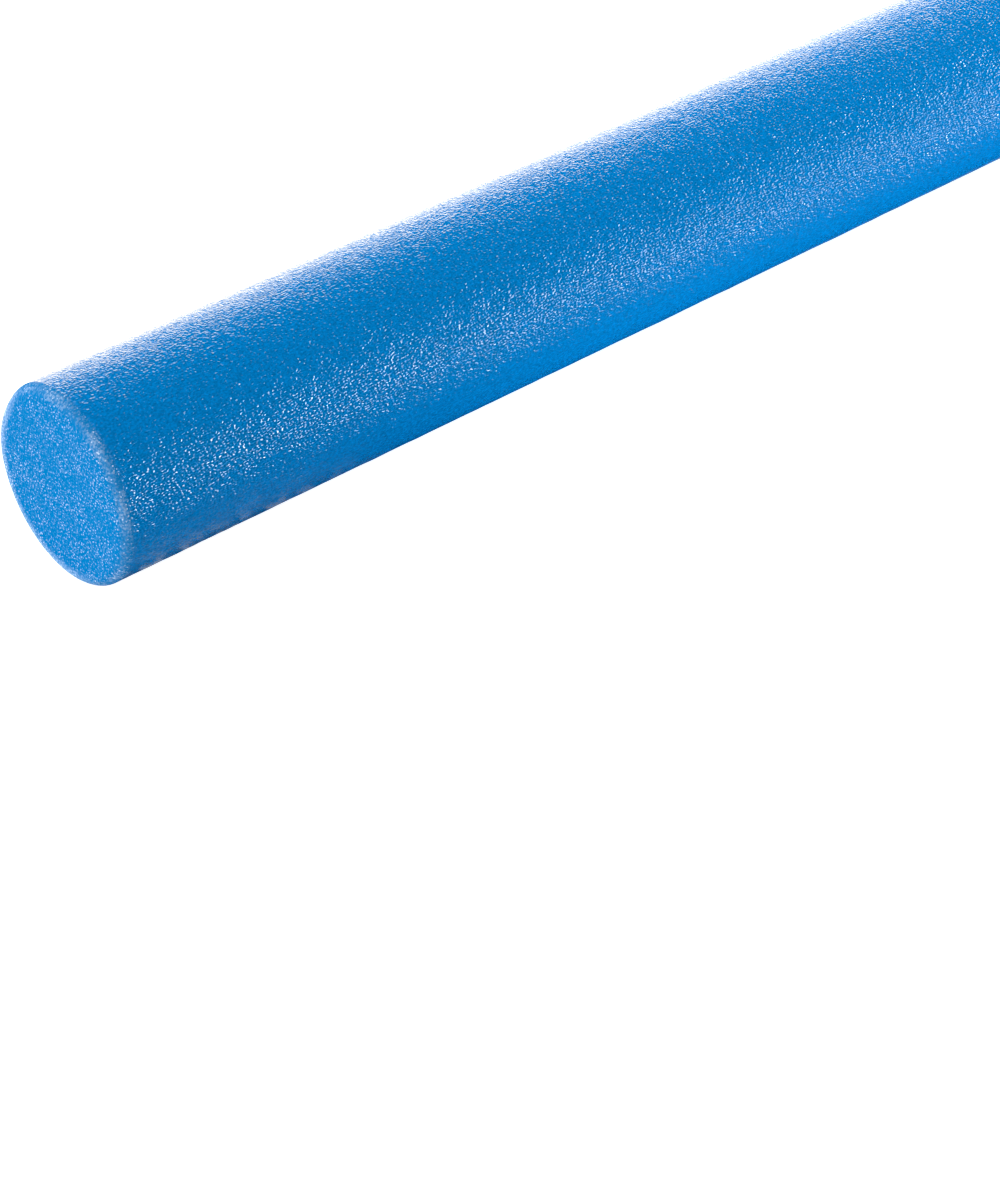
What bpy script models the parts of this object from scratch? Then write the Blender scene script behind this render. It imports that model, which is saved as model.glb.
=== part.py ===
"""A solid foam pool noodle, lying on its side.

It is one extruded rod of closed-cell polyethylene foam, cut square at both ends. Its two layers are the
cellular core and the closed skin that forms round it as it leaves the die. There is no bore.
The noodle runs along X, and the origin is under its middle, on the surface that it lies on. Its soft foam
is pressed flat in a narrow strip there, which keeps it from rolling.
"""

import math

import bmesh
import bpy
from mathutils import Matrix, Vector

MM = 0.001

# The whole noodle
NOODLE_LENGTH = 1600 * MM
NOODLE_DIAMETER = 70 * MM

# The skin: the closed film and the flattened cells just under it
SKIN_WALL = 1.2 * MM
BOND_LINE = 0.3 * MM

# The cut ends: foam springs back behind the blade and leaves a soft rim
RIM_RADIUS = 4 * MM

# The strip underneath, pressed flat where the soft foam carries the noodle's weight
REST_WIDTH = 7 * MM

# How finely round shapes are drawn
SIDES = 96
RIM_STEPS = 6

# What follows from the sizes above
NOODLE_RADIUS = NOODLE_DIAMETER / 2
SKIN_BORE_RADIUS = NOODLE_RADIUS - SKIN_WALL
CORE_RADIUS = SKIN_BORE_RADIUS - BOND_LINE
FLAT_RADIUS = NOODLE_RADIUS - RIM_RADIUS
END_X = NOODLE_LENGTH / 2
AXIS_HEIGHT = math.sqrt(NOODLE_RADIUS**2 - (REST_WIDTH / 2) ** 2)

# Colours as the eye sees them, in sRGB
SKIN_BLUE = "0078C2"
CUT_FOAM_BLUE = "2B90DA"


def linear_colour(srgb_hex):
    """The hex colour as linear red, green, blue and alpha."""
    channels = [int(srgb_hex[i : i + 2], 16) / 255 for i in (0, 2, 4)]
    return [c / 12.92 if c <= 0.04045 else ((c + 0.055) / 1.055) ** 2.4 for c in channels] + [1.0]


def foam_material(name, srgb_hex, roughness):
    """Plain polyethylene foam in one colour."""
    material = bpy.data.materials.new(name)
    material.use_nodes = True
    shader = material.node_tree.nodes["Principled BSDF"]
    shader.inputs["Base Color"].default_value = linear_colour(srgb_hex)
    shader.inputs["Roughness"].default_value = roughness
    shader.inputs["Metallic"].default_value = 0.0
    material.diffuse_color = linear_colour(srgb_hex)
    return material


def end_outline(inner, outer):
    """A cut end from one radius out to another, as (depth behind the flat cut, radius) points."""
    if outer <= FLAT_RADIUS:
        return [(0.0, inner), (0.0, outer)]
    points = [(0.0, inner)] if inner < FLAT_RADIUS else []
    start = math.asin(max(inner - FLAT_RADIUS, 0.0) / RIM_RADIUS)
    stop = math.asin(min((outer - FLAT_RADIUS) / RIM_RADIUS, 1.0))
    for step in range(RIM_STEPS + 1):
        angle = start + (stop - start) * step / RIM_STEPS
        points.append((RIM_RADIUS * (1 - math.cos(angle)), FLAT_RADIUS + RIM_RADIUS * math.sin(angle)))
    return points


def whole_outline(inner, outer):
    """Both cut ends and the straight side between them, as (x, radius) points along the noodle."""
    near_end = [(-END_X + depth, radius) for depth, radius in end_outline(inner, outer)]
    far_end = [(-x, radius) for x, radius in reversed(near_end)]
    return near_end + far_end


def turned(outline, closed):
    """The mesh of a solid of revolution about the noodle's own axis, from (x, radius) points."""
    mesh = bmesh.new()
    # The flats, not the corners, lie at the true radius, and one of them faces straight down.
    corner_share = 1 / math.cos(math.pi / SIDES)
    half_step = Matrix.Rotation(math.pi / SIDES, 3, "X")
    points = [mesh.verts.new(half_step @ Vector((x, 0.0, -radius * corner_share))) for x, radius in outline]
    pairs = list(zip(points, points[1:]))
    if closed:
        pairs.append((points[-1], points[0]))
    edges = [mesh.edges.new(pair) for pair in pairs]
    bmesh.ops.spin(
        mesh,
        geom=points + edges,
        cent=Vector(),
        axis=Vector((1.0, 0.0, 0.0)),
        angle=2 * math.pi,
        steps=SIDES,
        use_merge=True,
    )
    bmesh.ops.remove_doubles(mesh, verts=mesh.verts, dist=BOND_LINE / SIDES)
    bmesh.ops.recalc_face_normals(mesh, faces=mesh.faces)
    return mesh


def press_flat_underneath(mesh):
    """Cuts the round underside back to the level that the noodle lies at, and closes the strip."""
    bmesh.ops.bisect_plane(
        mesh,
        geom=mesh.verts[:] + mesh.edges[:] + mesh.faces[:],
        dist=BOND_LINE / SIDES,
        plane_co=Vector((0.0, 0.0, -AXIS_HEIGHT)),
        plane_no=Vector((0.0, 0.0, -1.0)),
        clear_outer=True,
    )
    bmesh.ops.edgeloop_fill(mesh, edges=[edge for edge in mesh.edges if edge.is_boundary])
    bmesh.ops.recalc_face_normals(mesh, faces=mesh.faces)


def placed(name, mesh, material):
    """The finished solid, smooth where it is round, raised so that the noodle lies on the floor."""
    data = bpy.data.meshes.new(name)
    mesh.to_mesh(data)
    mesh.free()
    data.materials.append(material)
    data.shade_smooth()
    data.set_sharp_from_angle(angle=math.radians(30))
    solid = bpy.data.objects.new(name, data)
    solid.location = (0.0, 0.0, AXIS_HEIGHT)
    bpy.context.scene.collection.objects.link(solid)
    return solid


def build_foam_core():
    """The cellular rod that does the floating. Its two ends are the cut faces."""
    cut_foam = foam_material("cut_foam", CUT_FOAM_BLUE, roughness=0.6)
    rod = turned(whole_outline(0.0, CORE_RADIUS), closed=False)
    return placed("foam_core", rod, cut_foam)


def build_outer_skin():
    """The closed, faintly pebbled skin along the whole side, cut off with the core at both ends."""
    foam_skin = foam_material("foam_skin", SKIN_BLUE, roughness=0.35)
    tube = turned(whole_outline(SKIN_BORE_RADIUS, NOODLE_RADIUS), closed=True)
    press_flat_underneath(tube)
    return placed("outer_skin", tube, foam_skin)


def main():
    for old in list(bpy.data.objects):
        bpy.data.objects.remove(old)
    build_foam_core()
    build_outer_skin()


main()
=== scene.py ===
"""A foam pool noodle lying on a pale floor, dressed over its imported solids.

The cut ends and the skin are modelled again here, with their bubbles, at the size of the solids under them.
"""
import math

import bpy
import numpy as np
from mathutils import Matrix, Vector, noise


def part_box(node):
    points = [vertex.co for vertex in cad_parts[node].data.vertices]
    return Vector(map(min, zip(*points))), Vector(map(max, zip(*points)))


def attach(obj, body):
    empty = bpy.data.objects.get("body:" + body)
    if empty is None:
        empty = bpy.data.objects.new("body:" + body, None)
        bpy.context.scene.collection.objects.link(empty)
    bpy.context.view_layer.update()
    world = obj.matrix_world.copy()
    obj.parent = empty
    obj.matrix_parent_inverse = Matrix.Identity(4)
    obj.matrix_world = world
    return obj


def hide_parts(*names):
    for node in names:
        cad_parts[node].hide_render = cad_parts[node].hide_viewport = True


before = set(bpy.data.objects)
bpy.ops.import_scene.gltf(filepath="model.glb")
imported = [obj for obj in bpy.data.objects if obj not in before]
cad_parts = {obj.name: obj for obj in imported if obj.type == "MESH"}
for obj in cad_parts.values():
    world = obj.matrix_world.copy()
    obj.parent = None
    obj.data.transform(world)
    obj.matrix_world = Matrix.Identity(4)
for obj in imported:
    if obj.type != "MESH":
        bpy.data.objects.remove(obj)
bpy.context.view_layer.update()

MM = 0.001

core_low, core_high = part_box("foam_core")
skin_low, skin_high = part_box("outer_skin")

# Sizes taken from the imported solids
END_X = core_high[0]
RADIUS = (skin_high[1] - skin_low[1]) / 2
CORE_RADIUS = (core_high[1] - core_low[1]) / 2
AXIS_HEIGHT = skin_high[2] - RADIUS

# The two layers meet in the middle of the bond line between them
BOND_LINE = 0.3 * MM
SEAM_RADIUS = CORE_RADIUS + BOND_LINE / 2
SEAM_OVERLAP = 0.01 * MM

# The cut ends: foam springs back behind the blade and leaves a soft rim
RIM = 4 * MM

# Up and back, where the blade came out, the rim falls back further, starts further in and ends further along
SHOULDER = 1.6 * MM
SHOULDER_ANGLE = math.radians(38)
SHOULDER_WIDTH = 10 * MM
SHOULDER_REACH = 16 * MM

# Down and back, a pale fringe of painted sheen lies along the rim: where it is centred, and how wide it is
SHEEN_FRINGE_ANGLE = math.radians(-35)
SHEEN_FRINGE_WIDTH = 7 * MM

# The bubbles of the foam, from one to the next
CUT_BUBBLE = 1.25 * MM
SKIN_BUBBLE = 1.3 * MM

# How the cut dips into a bubble: how steeply, how wide as a share of the bubble, and how far inside the seam
# it starts
DIP = 0.3 * MM
DIP_SHARE = 0.55
DIP_MARGIN = 0.6 * MM

# How the skin swells over groups of bubbles: how wide a group is, and how far the skin stands out over it
SWELLS = ((11 * MM, 0.10 * MM), (5.5 * MM, 0.07 * MM))

# How tall the relief of the finishes stands: pebbles and wrinkles on the skin, bubble walls and dents on the
# cut
PEBBLE_HEIGHT = 0.45 * MM
WRINKLE_HEIGHT = 0.3 * MM
WALL_HEIGHT = 0.6 * MM
DENT_HEIGHT = 0.3 * MM

# Other patterns, from one lump to the next: the blue of the skin, the paler parts of the cut, the ragged
# tears of its rim, and the creases of the paper floor
MOTTLE = 0.7 * MM
PATCH = 9 * MM
TEAR = 0.6 * MM
CREASE = 5 * MM

# How much longer a pattern is along the noodle than round it, on the skin and in the tears of the rim
SKIN_STRETCH = 1.5
TEAR_STRETCH = 3.0

# Colours as the eye sees them: the blue that is mixed into the melt, a lighter and a darker blue mottled at
# random over the skin, and the pale of the fine walls of opened bubbles, which also paints highlights and
# sheen
FOAM_BLUE = "0079BC"
LIGHT_MOTTLE_BLUE = "0086D5"
DARK_MOTTLE_BLUE = "006EAF"
PALE_WALL_AND_HIGHLIGHT = "C4DCF8"

# Colours of the room: the paper floor, as it is and as it veils the noodle's gloss, the backdrop under a
# warm light, the cool lamp, and plain white
PAPER = "E7E7E7"
VEIL_GREY = "EAE6DC"
BACKDROP_WHITE = "FFF1DA"
LAMP_WHITE = "F0F6FF"
WHITE = "FFFFFF"

# The name of the map that each piece is laid out on
BAKED_MAP = "OFBake"

# What the noodle's gloss shows of the room, where 1 is white: how bright the backdrop, the lamp and the two
# veils of the floor are
BACKDROP_LEVEL = 4.1
LAMP_LEVEL = 27.0
NEAR_VEIL = 0.23
FRONT_VEIL = 0.1

# The lamp's azimuth and elevation in degrees, and how far from its middle it stays full and where it ends
LAMP_WAY = (-15, -7)
LAMP_FULL = math.radians(11)
LAMP_END = math.radians(27)

# The soft light on the noodle: an even share, and broad lamps by azimuth, elevation, narrowness and level
EVEN_LIGHT = 0.02
BROAD_LAMPS = ((90, 25, 1.0, 1.7), (180, 0, 8.0, 6.8), (-53, 0, 1.0, 0.68))


def linear(srgb_hex):
    """An sRGB hex colour as linear red, green, blue and alpha."""
    channels = [int(srgb_hex[i : i + 2], 16) / 255 for i in (0, 2, 4)]
    return [c / 12.92 if c <= 0.04045 else ((c + 0.055) / 1.055) ** 2.4 for c in channels] + [1.0]


def add(tree, kind, settings=None, **inputs):
    """A new node with its settings made, and its inputs given a value or linked to another node's output."""
    node = tree.nodes.new(kind)
    for name, value in (settings or {}).items():
        setattr(node, name, value)
    for name, value in inputs.items():
        key = int(name[2:]) if name.startswith("in") and name[2:].isdigit() else name.replace("_", " ")
        socket = node.inputs[key]
        if isinstance(value, bpy.types.NodeSocket):
            tree.links.new(value, socket)
        else:
            socket.default_value = value
    return node


# Shapes


def rim_depth(radius):
    """How far behind the flat cut the soft rim lies at a radius."""
    over = np.clip((radius - (RADIUS - RIM)) / RIM, 0.0, 1.0)
    return RIM * (1 - np.sqrt(1 - over**2))


def round_shoulder(points):
    """Slides points near the cuts back along the noodle, so that the rim is rounder up and back."""
    across, above = points[:, 1], points[:, 2] - AXIS_HEIGHT
    radius = np.maximum(np.hypot(across, above), MM)
    facing = (across * math.cos(SHOULDER_ANGLE) + above * math.sin(SHOULDER_ANGLE)) / radius
    turned = np.clip(facing, 0, 1) ** 12
    outer = np.clip(1 - (RADIUS - radius) / SHOULDER_WIDTH, 0, 1) ** 2
    depth = END_X - np.abs(points[:, 0])
    close = np.clip((SHOULDER_REACH - depth) / (SHOULDER_REACH - RIM), 0, 1)
    points[:, 0] -= np.sign(points[:, 0]) * SHOULDER * turned * outer * close


def mesh_piece(name, points, faces, materials, face_materials, map_corners):
    """A smooth-shaded object from points and four-sided faces, with the place of each corner on its map."""
    data = bpy.data.meshes.new(name)
    data.from_pydata(points.tolist(), [], faces.tolist())
    for material in materials:
        data.materials.append(material)
    data.polygons.foreach_set("material_index", face_materials)
    data.uv_layers.new(name=BAKED_MAP).data.foreach_set("uv", map_corners.astype(np.float32).ravel())
    data.shade_smooth()
    piece = bpy.data.objects.new(name, data)
    bpy.context.scene.collection.objects.link(piece)
    return piece


def rectangles(u_low, u_high, v_low, v_high):
    """Corners on the map of a row of faces, each a rectangle, in the order that the faces are wound."""
    return np.stack([np.stack([u_low, v_low], -1), np.stack([u_high, v_low], -1),
                     np.stack([u_high, v_high], -1), np.stack([u_low, v_high], -1)], 1)


def bubble_dips(spots):
    """How far the cut dips into the bubbles that the blade opened, at points of a cut end."""
    nearest = np.array([noise.voronoi(Vector(spot) / CUT_BUBBLE)[0][0] for spot in spots])
    return np.maximum(0.0, DIP_SHARE - nearest) * DIP


def skin_swell(spots):
    """How far the skin stands out or in over groups of bubbles."""
    swell = np.zeros(len(spots))
    for width, tall in SWELLS:
        swell += tall * np.array([noise.noise(Vector(spot) / width) for spot in spots])
    return swell


def cut_end(side, squares):
    """Points of a cut end out to the seam, on a square grid pressed round so that its squares stay even."""
    steps = np.linspace(-1, 1, squares + 1)
    a, b = np.meshgrid(steps, steps, indexing="ij")
    wide = np.abs(a) > np.abs(b)
    shorter, longer = np.where(wide, b, a), np.where(wide, a, b)
    share = np.divide(shorter, longer, out=np.zeros_like(a), where=longer != 0)
    turn = np.where(wide, np.pi / 4 * share, np.pi / 2 - np.pi / 4 * share)
    radius = longer * SEAM_RADIUS
    y, z = (radius * np.cos(turn)).ravel(), (radius * np.sin(turn)).ravel()
    out = np.hypot(y, z)
    points = np.stack([side * (END_X - rim_depth(out)), y, z + AXIS_HEIGHT], 1)
    inside = np.clip((SEAM_RADIUS - out) / DIP_MARGIN, 0, 1)
    points[:, 0] -= side * bubble_dips(points) * inside
    round_shoulder(points)
    return points


def build_core(material, squares=200):
    """The foam core: two cut faces full of opened bubbles, joined by a plain side that the skin covers."""
    near, far = cut_end(-1, squares), cut_end(1, squares)
    row = squares + 1
    i, j = (k.ravel() for k in np.meshgrid(np.arange(squares), np.arange(squares), indexing="ij"))
    far_faces = np.stack([i * row + j, (i + 1) * row + j, (i + 1) * row + j + 1, i * row + j + 1], 1)
    near_faces = far_faces[:, ::-1]
    n = np.arange(squares)
    edge = np.concatenate([n * row, squares * row + n, (squares - n) * row + squares, squares - n])
    after = np.roll(edge, -1)
    count = len(near)
    side_faces = np.stack([edge, after, count + after, count + edge], 1)
    faces = np.concatenate([near_faces, far_faces + count, side_faces])

    # On the map the two ends lie side by side, and the covered side is a sliver above them.
    end_size, far_place = (0.49, 0.97), (0.51, 0.0)
    sliver_low, sliver_high = 0.98, 0.99
    places = np.stack([near[:, 1], near[:, 2] - AXIS_HEIGHT], 1) / (2 * SEAM_RADIUS) + 0.5
    near_map = places[near_faces] * end_size
    far_map = places[far_faces] * end_size + far_place
    along = np.arange(len(edge)) / len(edge)
    flat = np.ones(len(edge))
    side_map = rectangles(along, along + 1 / len(edge), sliver_low * flat, sliver_high * flat)
    return mesh_piece("core", np.concatenate([near, far]), faces, [material], np.zeros(len(faces), int),
                      np.concatenate([near_map, far_map, side_map]))


def build_skin(skin_material, cut_material, around=120, along=800, rim_rings=5, strips=3):
    """The skin: a sleeve with its pebbled outside, a cut edge at each end, and a plain bore."""
    rim_start = math.asin((SEAM_RADIUS - (RADIUS - RIM)) / RIM)
    rim_angles = np.linspace(rim_start, math.pi / 2, rim_rings + 1)
    rim_radii = RADIUS - RIM + RIM * np.sin(rim_angles)
    rim_x = END_X - RIM * (1 - np.cos(rim_angles))
    side_x = np.linspace(rim_x[-1], -rim_x[-1], along + 1)[1:-1]
    xs = np.concatenate([rim_x, side_x, -rim_x[::-1]])
    radii = np.concatenate([rim_radii, np.full(len(side_x), RADIUS), rim_radii[::-1]])
    turn = np.linspace(0, 2 * np.pi, around, endpoint=False)
    outward = np.tile(np.stack([np.cos(turn), np.sin(turn)], 1), (len(xs), 1))
    outside = np.column_stack([np.repeat(xs, around), np.repeat(radii, around)[:, None] * outward])
    grown = np.repeat((radii - SEAM_RADIUS) / (RADIUS - SEAM_RADIUS), around)
    outside[:, 1:] += outward * (skin_swell(outside) * grown)[:, None]
    bore_radius = SEAM_RADIUS - SEAM_OVERLAP
    bore = np.column_stack([np.repeat([xs[-1], xs[0]], around), outward[: 2 * around] * bore_radius])
    points = np.concatenate([outside, bore])
    points[:, 2] = np.maximum(points[:, 2] + AXIS_HEIGHT, 0.0)
    round_shoulder(points)

    rings = len(xs) + 2
    ring, step = (k.ravel() for k in np.meshgrid(np.arange(rings), np.arange(around), indexing="ij"))
    here, beyond = ring * around, (ring + 1) % rings * around
    after = (step + 1) % around
    faces = np.stack([here + step, beyond + step, beyond + after, here + after], 1)
    rows = len(xs) - 1
    is_cut = (ring < rim_rings) | (ring >= rows - rim_rings)

    # On the map the outside is cut into strips along its length, laid one above the other, and the bore is a
    # sliver above them.
    strip_pitch, strip_height = 0.98 / strips, 0.96 / strips
    sliver_low, sliver_height = 0.985, 0.01
    run = np.append(0, np.cumsum(np.hypot(np.diff(xs), np.diff(radii))))
    strip = np.minimum(ring * strips // rows, strips - 1)
    first, last = strip * rows // strips, (strip + 1) * rows // strips
    on_outside = ring < rows
    a, b = np.minimum(ring, rows - 1), np.minimum(ring + 1, rows)
    u_low, u_high = ((run[k] - run[first]) / (run[last] - run[first]) for k in (a, b))
    tall = np.where(on_outside, strip_height, sliver_height)
    v_low = np.where(on_outside, strip * strip_pitch, sliver_low)
    corners = rectangles(np.where(on_outside, u_low, 0), np.where(on_outside, u_high, 1),
                         v_low + tall * step / around, v_low + tall * (step + 1) / around)
    return mesh_piece("skin", points, faces, [skin_material, cut_material], is_cut.astype(int), corners)


# Finishes


def arithmetic(tree, operation, *values):
    """The result of one sum."""
    inputs = {f"in{i}": value for i, value in enumerate(values)}
    return add(tree, "ShaderNodeMath", {"operation": operation}, **inputs).outputs[0]


def fade(tree, value, start, stop, first=0.0, last=1.0):
    """A soft passage from a first level to a last one, while a value goes from start to stop."""
    soft = add(tree, "ShaderNodeMapRange", {"interpolation_type": "SMOOTHSTEP"}, Value=value, From_Min=start,
               From_Max=stop, To_Min=first, To_Max=last)
    return soft.outputs[0]


def grain(tree, place, width, detail=0.0, stretch=1.0):
    """Noise of a width from one lump to the next, drawn out along the noodle by a share."""
    shares = (1 / stretch, 1.0, 1.0)
    drawn = add(tree, "ShaderNodeVectorMath", {"operation": "MULTIPLY"}, in0=place, in1=shares)
    wave = add(tree, "ShaderNodeTexNoise", Vector=drawn.outputs[0], Scale=1 / width, Detail=detail)
    return wave.outputs["Fac"]


def relief(tree, *waves):
    """The normal of a surface whose height adds up waves, each with how tall it stands."""
    height = 0.0
    for wave, tall in waves:
        height = arithmetic(tree, "MULTIPLY_ADD", wave, tall, height)
    bump = add(tree, "ShaderNodeBump", Strength=1.0, Distance=1.0, Filter_Width=1.0, Height=height)
    return bump.outputs["Normal"]


def blend(tree, share, first, last):
    """A colour between two others."""
    return add(tree, "ShaderNodeMix", {"data_type": "RGBA"}, Factor=share, A=first, B=last).outputs["Result"]


def from_axis(tree, place):
    """Where a point lies about the noodle's axis: its distance from it, and how far across and above."""
    parts = add(tree, "ShaderNodeSeparateXYZ", Vector=place)
    across = parts.outputs["Y"]
    above = arithmetic(tree, "SUBTRACT", parts.outputs["Z"], AXIS_HEIGHT)
    squared = arithmetic(tree, "MULTIPLY", across, across)
    return arithmetic(tree, "SQRT", arithmetic(tree, "MULTIPLY_ADD", above, above, squared)), across, above


def sheen_fringe_mask(tree, place):
    """How far a point belongs to the low far side of the cut's rim, where a pale fringe is painted on as
    sheen: 1 at the edge, 0 further in and all round the rest."""
    radius, across, above = from_axis(tree, place)
    facing = arithmetic(tree, "MULTIPLY_ADD", above, math.sin(SHEEN_FRINGE_ANGLE),
                        arithmetic(tree, "MULTIPLY", across, math.cos(SHEEN_FRINGE_ANGLE)))
    return arithmetic(tree, "MULTIPLY", fade(tree, radius, RADIUS - SHEEN_FRINGE_WIDTH, RADIUS - 1.5 * MM),
                      fade(tree, arithmetic(tree, "DIVIDE", facing, radius), -0.1, 0.7))


def torn_rim_and_highlight(tree, place):
    """How far a point belongs to the rim of the cut, where the blade tore the skin and the finishes paint it
    paler, partly as a highlight on its round: 1 on the round of the rim, 0 on the flat of the cut and on the
    side, with a ragged edge."""
    along = add(tree, "ShaderNodeSeparateXYZ", Vector=place).outputs["X"]
    depth = arithmetic(tree, "SUBTRACT", END_X, arithmetic(tree, "ABSOLUTE", along))
    radius = from_axis(tree, place)[0]
    tears = grain(tree, place, TEAR, 1.0, stretch=TEAR_STRETCH)
    ragged = arithmetic(tree, "MULTIPLY_ADD", tears, 5 * MM, depth)
    return arithmetic(tree, "MULTIPLY", fade(tree, radius, RADIUS - 3.5 * MM, RADIUS - 0.5 * MM),
                      fade(tree, ragged, 3.5 * MM, 7.5 * MM, 1.0, 0.0))


def die_skin():
    """Closed-cell polyethylene foam as it leaves the die: its skin is sealed, glossy and pebbled by the
    bubbles under it, drawn out a little along the noodle. It throws a lamp back as thousands of small
    sparkles."""
    material = bpy.data.materials.new("polyethylene_die_skin")
    material.use_nodes = True
    tree = material.node_tree
    shader = tree.nodes["Principled BSDF"]
    place = add(tree, "ShaderNodeTexCoord").outputs["Object"]
    rim = torn_rim_and_highlight(tree, place)
    # Two pebbles stand on each bubble, and a wrinkle spans two or three.
    pebbles = grain(tree, place, 0.5 * SKIN_BUBBLE, stretch=SKIN_STRETCH)
    wrinkles = grain(tree, place, 2.5 * SKIN_BUBBLE, 1.0)
    normal = relief(tree, (pebbles, PEBBLE_HEIGHT), (wrinkles, WRINKLE_HEIGHT))
    # The crowns of the pebbles were pressed smooth by the die, some clusters more than others. The seams
    # between them stayed dull, and so did the torn rim.
    clusters = grain(tree, place, 1.1 * SKIN_BUBBLE, stretch=SKIN_STRETCH)
    gloss = arithmetic(tree, "MULTIPLY", fade(tree, pebbles, 0.44, 0.6, 0.03, 0.5),
                       fade(tree, clusters, 0.35, 0.65, 0.4, 1.4))
    gloss = arithmetic(tree, "MULTIPLY", gloss, fade(tree, rim, 0.0, 1.0, 1.0, 0.15))
    mottling = grain(tree, place, MOTTLE, 1.0, stretch=SKIN_STRETCH)
    blue = blend(tree, fade(tree, mottling, 0.2, 0.8), linear(DARK_MOTTLE_BLUE), linear(LIGHT_MOTTLE_BLUE))
    # The round of the rim is painted paler: partly whitened skin, partly a painted highlight.
    pale_rim_and_highlight = arithmetic(tree, "MULTIPLY", rim, fade(tree, mottling, 0.35, 0.7, 0.06, 0.28))
    tree.links.new(blend(tree, pale_rim_and_highlight, blue, linear(PALE_WALL_AND_HIGHLIGHT)), shader.inputs["Base Color"])
    tree.links.new(gloss, shader.inputs["Specular IOR Level"])
    tree.links.new(normal, shader.inputs["Normal"])
    shader.inputs["Roughness"].default_value = 0.08
    shader.inputs["IOR"].default_value = 1.5
    return material


def sliced_foam():
    """The same foam where the blade went through: opened bubbles with fine broken walls. Their highlights are
    painted on as a fine pale speckle on the blue, for it has no gloss."""
    material = bpy.data.materials.new("sliced_polyethylene_foam")
    material.use_nodes = True
    tree = material.node_tree
    shader = tree.nodes["Principled BSDF"]
    place = add(tree, "ShaderNodeTexCoord").outputs["Object"]
    rim = torn_rim_and_highlight(tree, place)
    # A bubble that the blade opened near its middle gets a painted highlight of its broken wall, and a few
    # are much brighter than the rest.
    bubbles = add(tree, "ShaderNodeTexVoronoi", Vector=place, Scale=1 / (0.75 * CUT_BUBBLE))
    luck = add(tree, "ShaderNodeSeparateColor", Color=bubbles.outputs["Color"]).outputs["Red"]
    painted_glint = arithmetic(tree, "MULTIPLY", fade(tree, bubbles.outputs["Distance"], 0.38, 0.12), luck)
    share = arithmetic(tree, "MULTIPLY_ADD", arithmetic(tree, "MULTIPLY", painted_glint, luck), 1.1, -0.03)
    # The walls between the bubbles are a little paler, and so is the rim, partly as a painted highlight on
    # its round. Some parts of the cut are paler than others.
    walls = grain(tree, place, 0.7 * CUT_BUBBLE, 1.0)
    share = arithmetic(tree, "MULTIPLY_ADD", fade(tree, walls, 0.46, 0.62), 0.1, share)
    share = arithmetic(tree, "MULTIPLY_ADD", rim, fade(tree, walls, 0.4, 0.65, 0.1, 0.26), share)
    # A pale fringe of painted sheen lies along the low far edge of the cut.
    sheen_fringe_share = arithmetic(tree, "MULTIPLY", sheen_fringe_mask(tree, place), fade(tree, walls, 0.4, 0.65, 0.4, 0.8))
    patches = fade(tree, grain(tree, place, PATCH, 1.0), 0.35, 0.65, 0.6, 1.4)
    share = arithmetic(tree, "MULTIPLY_ADD", share, patches, sheen_fringe_share)
    dents = grain(tree, place, 2.5 * CUT_BUBBLE, 1.0)
    tree.links.new(blend(tree, share, linear(FOAM_BLUE), linear(PALE_WALL_AND_HIGHLIGHT)), shader.inputs["Base Color"])
    tree.links.new(relief(tree, (walls, WALL_HEIGHT), (dents, DENT_HEIGHT)), shader.inputs["Normal"])
    shader.inputs["Specular IOR Level"].default_value = 0.0
    shader.inputs["Roughness"].default_value = 0.4
    shader.inputs["IOR"].default_value = 1.5
    return material


# Stage


def pale_floor():
    """A white paper sweep. It throws more light up towards the far part of the noodle than towards the near
    end. The noodle's gloss sees the room through it, and two faint veils of paper: a creased one beside the
    near end and a plain one in front of the rest."""
    material = bpy.data.materials.new("white_paper_sweep")
    material.use_nodes = True
    tree = material.node_tree
    tree.nodes.clear()
    seen = add(tree, "ShaderNodeLightPath")
    place = add(tree, "ShaderNodeTexCoord").outputs["Object"]
    parts = add(tree, "ShaderNodeSeparateXYZ", Vector=place)
    along, across = parts.outputs["X"], parts.outputs["Y"]

    thrown = fade(tree, along, -0.78, -0.56, 0.05, 1.03)
    lift = add(tree, "ShaderNodeMix", {"data_type": "FLOAT"}, Factor=seen.outputs["Is Camera Ray"], A=thrown,
               B=0.95)
    paper = add(tree, "ShaderNodeBsdfDiffuse", Color=linear(PAPER))
    white = add(tree, "ShaderNodeEmission", Color=linear(WHITE), Strength=lift.outputs[0])
    shown = add(tree, "ShaderNodeAddShader", in0=paper.outputs[0], in1=white.outputs[0])

    near = arithmetic(tree, "MULTIPLY", fade(tree, along, -0.75, -0.67, NEAR_VEIL, 0.0),
                      fade(tree, arithmetic(tree, "ABSOLUTE", across), 0.04, 0.07, 1.0, 0.0))
    creases = fade(tree, grain(tree, place, CREASE), 0.5, 0.57, 0.0, 2.7)
    front = arithmetic(tree, "MULTIPLY", fade(tree, along, -0.6, -0.48, 0.0, FRONT_VEIL),
                       fade(tree, across, -0.055, -0.035, 1.0, 0.0))
    veil = add(tree, "ShaderNodeEmission", Color=linear(VEIL_GREY),
               Strength=arithmetic(tree, "MULTIPLY_ADD", near, creases, front))
    clear = add(tree, "ShaderNodeBsdfTransparent", Color=linear(WHITE))
    mirrored = add(tree, "ShaderNodeAddShader", in0=clear.outputs[0], in1=veil.outputs[0])

    surface = add(tree, "ShaderNodeMixShader", in0=seen.outputs["Is Glossy Ray"], in1=shown.outputs[0],
                  in2=mirrored.outputs[0])
    add(tree, "ShaderNodeOutputMaterial", Surface=surface.outputs[0])
    bpy.ops.mesh.primitive_plane_add(size=60.0, location=(0, 0, 0))
    floor = bpy.context.object
    floor.name = "floor"
    floor.data.materials.append(material)


def direction(azimuth, elevation):
    """The way to a point of the room, from two angles in degrees."""
    a, e = math.radians(azimuth), math.radians(elevation)
    return math.cos(a) * math.cos(e), math.sin(a) * math.cos(e), math.sin(e)


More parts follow.
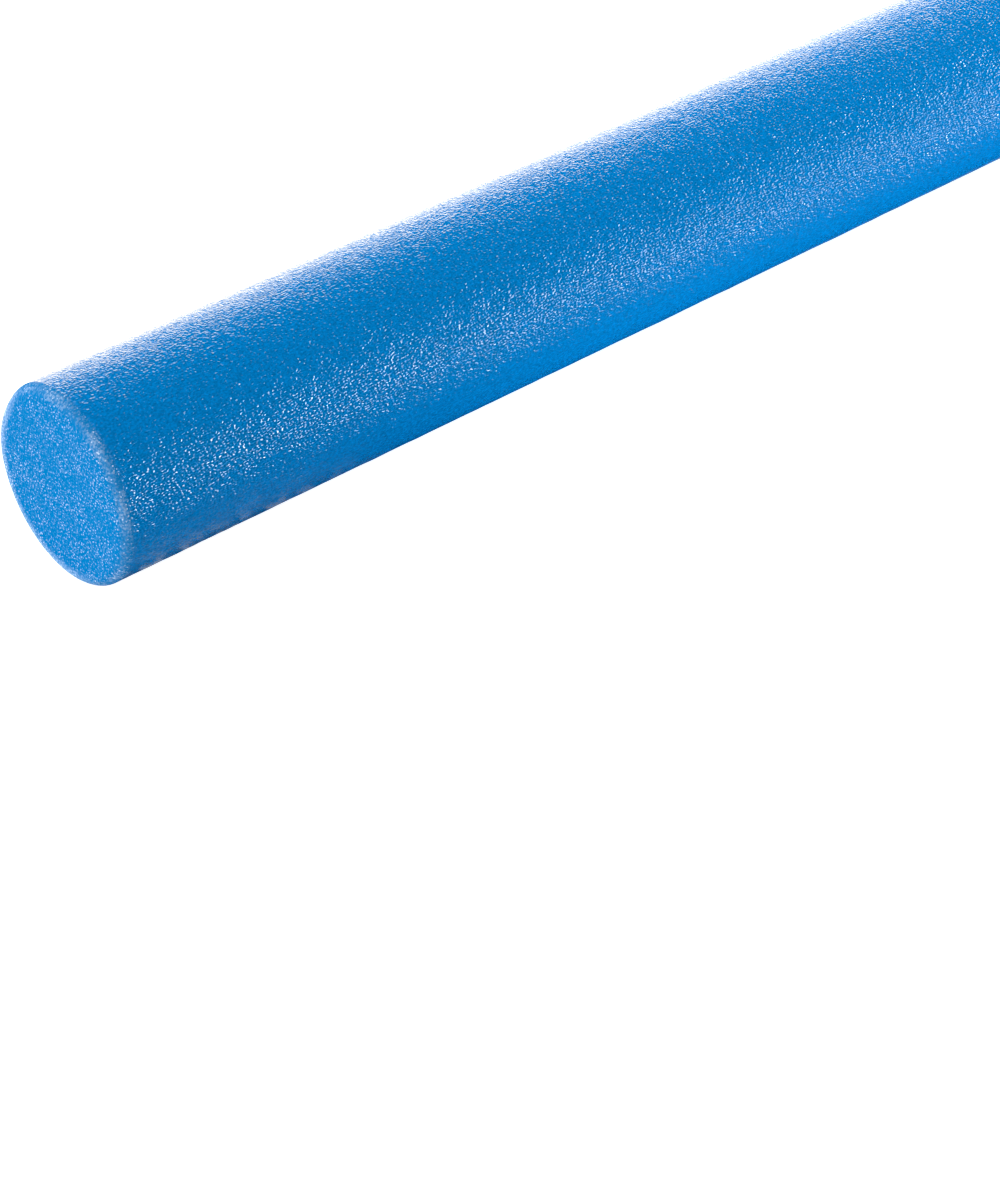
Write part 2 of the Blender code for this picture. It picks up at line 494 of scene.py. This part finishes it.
def room():
    """A white room to the eye. Its soft light comes from above and behind, from the side that the near end
    faces, and a little from the front. In the noodle's gloss it is dark, but for the warm backdrop, which
    fades upwards, and for one round lamp far to the right. Only the slopes of the pebbles catch its image."""
    world = bpy.data.worlds.new("room")
    bpy.context.scene.world = world
    world.use_nodes = True
    tree = world.node_tree
    tree.nodes.clear()
    way = add(tree, "ShaderNodeTexCoord").outputs["Generated"]

    def towards(azimuth, elevation):
        dot = add(tree, "ShaderNodeVectorMath", {"operation": "DOT_PRODUCT"}, in0=way,
                  in1=direction(azimuth, elevation))
        return dot.outputs["Value"]

    # The backdrop ends softly above, below and at both sides.
    up = towards(0, 90)
    backdrop = arithmetic(tree, "MULTIPLY", fade(tree, up, 0.14, 0.49, BACKDROP_LEVEL, 0.0),
                          fade(tree, towards(30, 0), 0.55, 0.95))
    backdrop = arithmetic(tree, "MULTIPLY", backdrop, fade(tree, up, -0.62, -0.42))
    lamp = fade(tree, towards(*LAMP_WAY), math.cos(LAMP_END), math.cos(LAMP_FULL), 0.0, LAMP_LEVEL)
    hung = add(tree, "ShaderNodeBackground", Color=linear(BACKDROP_WHITE), Strength=backdrop)
    lit = add(tree, "ShaderNodeBackground", Color=linear(LAMP_WHITE), Strength=lamp)
    mirrored = add(tree, "ShaderNodeAddShader", in0=hung.outputs[0], in1=lit.outputs[0])

    light = EVEN_LIGHT
    for azimuth, elevation, narrowness, level in BROAD_LAMPS:
        facing = arithmetic(tree, "MAXIMUM", towards(azimuth, elevation), 0.0)
        light = arithmetic(tree, "MULTIPLY_ADD", arithmetic(tree, "POWER", facing, narrowness), level, light)
    soft = add(tree, "ShaderNodeBackground", Color=linear(WHITE), Strength=light)
    white = add(tree, "ShaderNodeBackground", Color=linear(WHITE), Strength=1.0)

    seen = add(tree, "ShaderNodeLightPath")
    felt = add(tree, "ShaderNodeMixShader", in0=seen.outputs["Is Glossy Ray"], in1=soft.outputs[0],
               in2=mirrored.outputs[0])
    shown = add(tree, "ShaderNodeMixShader", in0=seen.outputs["Is Camera Ray"], in1=felt.outputs[0],
                in2=white.outputs[0])
    add(tree, "ShaderNodeOutputWorld", Surface=shown.outputs[0])


def graded_net():
    """A net beside the noodle, closer woven towards the far part, which dims the lamp's sparkles there.
    Nothing but the noodle's gloss sees it."""
    material = bpy.data.materials.new("lamp_net")
    material.use_nodes = True
    tree = material.node_tree
    tree.nodes.clear()
    along = add(tree, "ShaderNodeSeparateXYZ", Vector=add(tree, "ShaderNodeTexCoord").outputs["Object"])
    share = fade(tree, along.outputs["X"], -0.5, -0.02, 1.0, 0.18)
    grey = add(tree, "ShaderNodeCombineColor", Red=share, Green=share, Blue=share)
    clear = add(tree, "ShaderNodeBsdfTransparent", Color=grey.outputs[0])
    add(tree, "ShaderNodeOutputMaterial", Surface=clear.outputs[0])
    left, right, behind, half_height = -1.0, 9.0, -0.25, 1.0
    corners = [(left, behind, -half_height), (right, behind, -half_height), (right, behind, half_height),
               (left, behind, half_height)]
    data = bpy.data.meshes.new("net")
    data.from_pydata(corners, [], [(0, 1, 2, 3)])
    data.materials.append(material)
    net = bpy.data.objects.new("net", data)
    net.visible_camera = net.visible_diffuse = net.visible_shadow = net.visible_transmission = False
    bpy.context.scene.collection.objects.link(net)


def top_softbox(place, target, size, level):
    """A square lamp over the far part, so that the near end is darker. Level is its brightness, where 1 is
    white. The noodle's gloss doesn't show it."""
    data = bpy.data.lights.new("top_softbox", "AREA")
    data.shape = "SQUARE"
    data.size = size
    data.energy = level * math.pi * size**2
    lamp = bpy.data.objects.new("top_softbox", data)
    lamp.location = place
    lamp.rotation_euler = (Vector(target) - Vector(place)).to_track_quat("-Z", "Y").to_euler()
    lamp.visible_camera = lamp.visible_glossy = False
    bpy.context.scene.collection.objects.link(lamp)


def photographers_camera():
    """Looks down on the near end from its left, with a long lens."""
    data = bpy.data.cameras.new("camera")
    data.sensor_fit = "AUTO"
    data.sensor_width = 36.0
    data.lens = 117.76
    data.clip_start, data.clip_end = 0.05, 200.0
    camera = bpy.data.objects.new("camera", data)
    camera.location = (-1.3645, -0.8730, 0.7601)
    camera.rotation_euler = (math.radians(90 - 36.784), 0, math.radians(49.297 - 90))
    bpy.context.scene.collection.objects.link(camera)
    bpy.context.scene.camera = camera


def main():
    scene = bpy.context.scene
    scene.view_settings.view_transform = "Standard"
    cut = sliced_foam()
    core = build_core(cut)
    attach(core, "root")
    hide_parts("foam_core")
    skin = build_skin(die_skin(), cut)
    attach(skin, "root")
    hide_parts("outer_skin")
    pale_floor()
    room()
    graded_net()
    top_softbox(place=(0.1, -0.1, 0.6), target=(-0.4, 0, AXIS_HEIGHT), size=0.4, level=5.8)
    photographers_camera()


main()
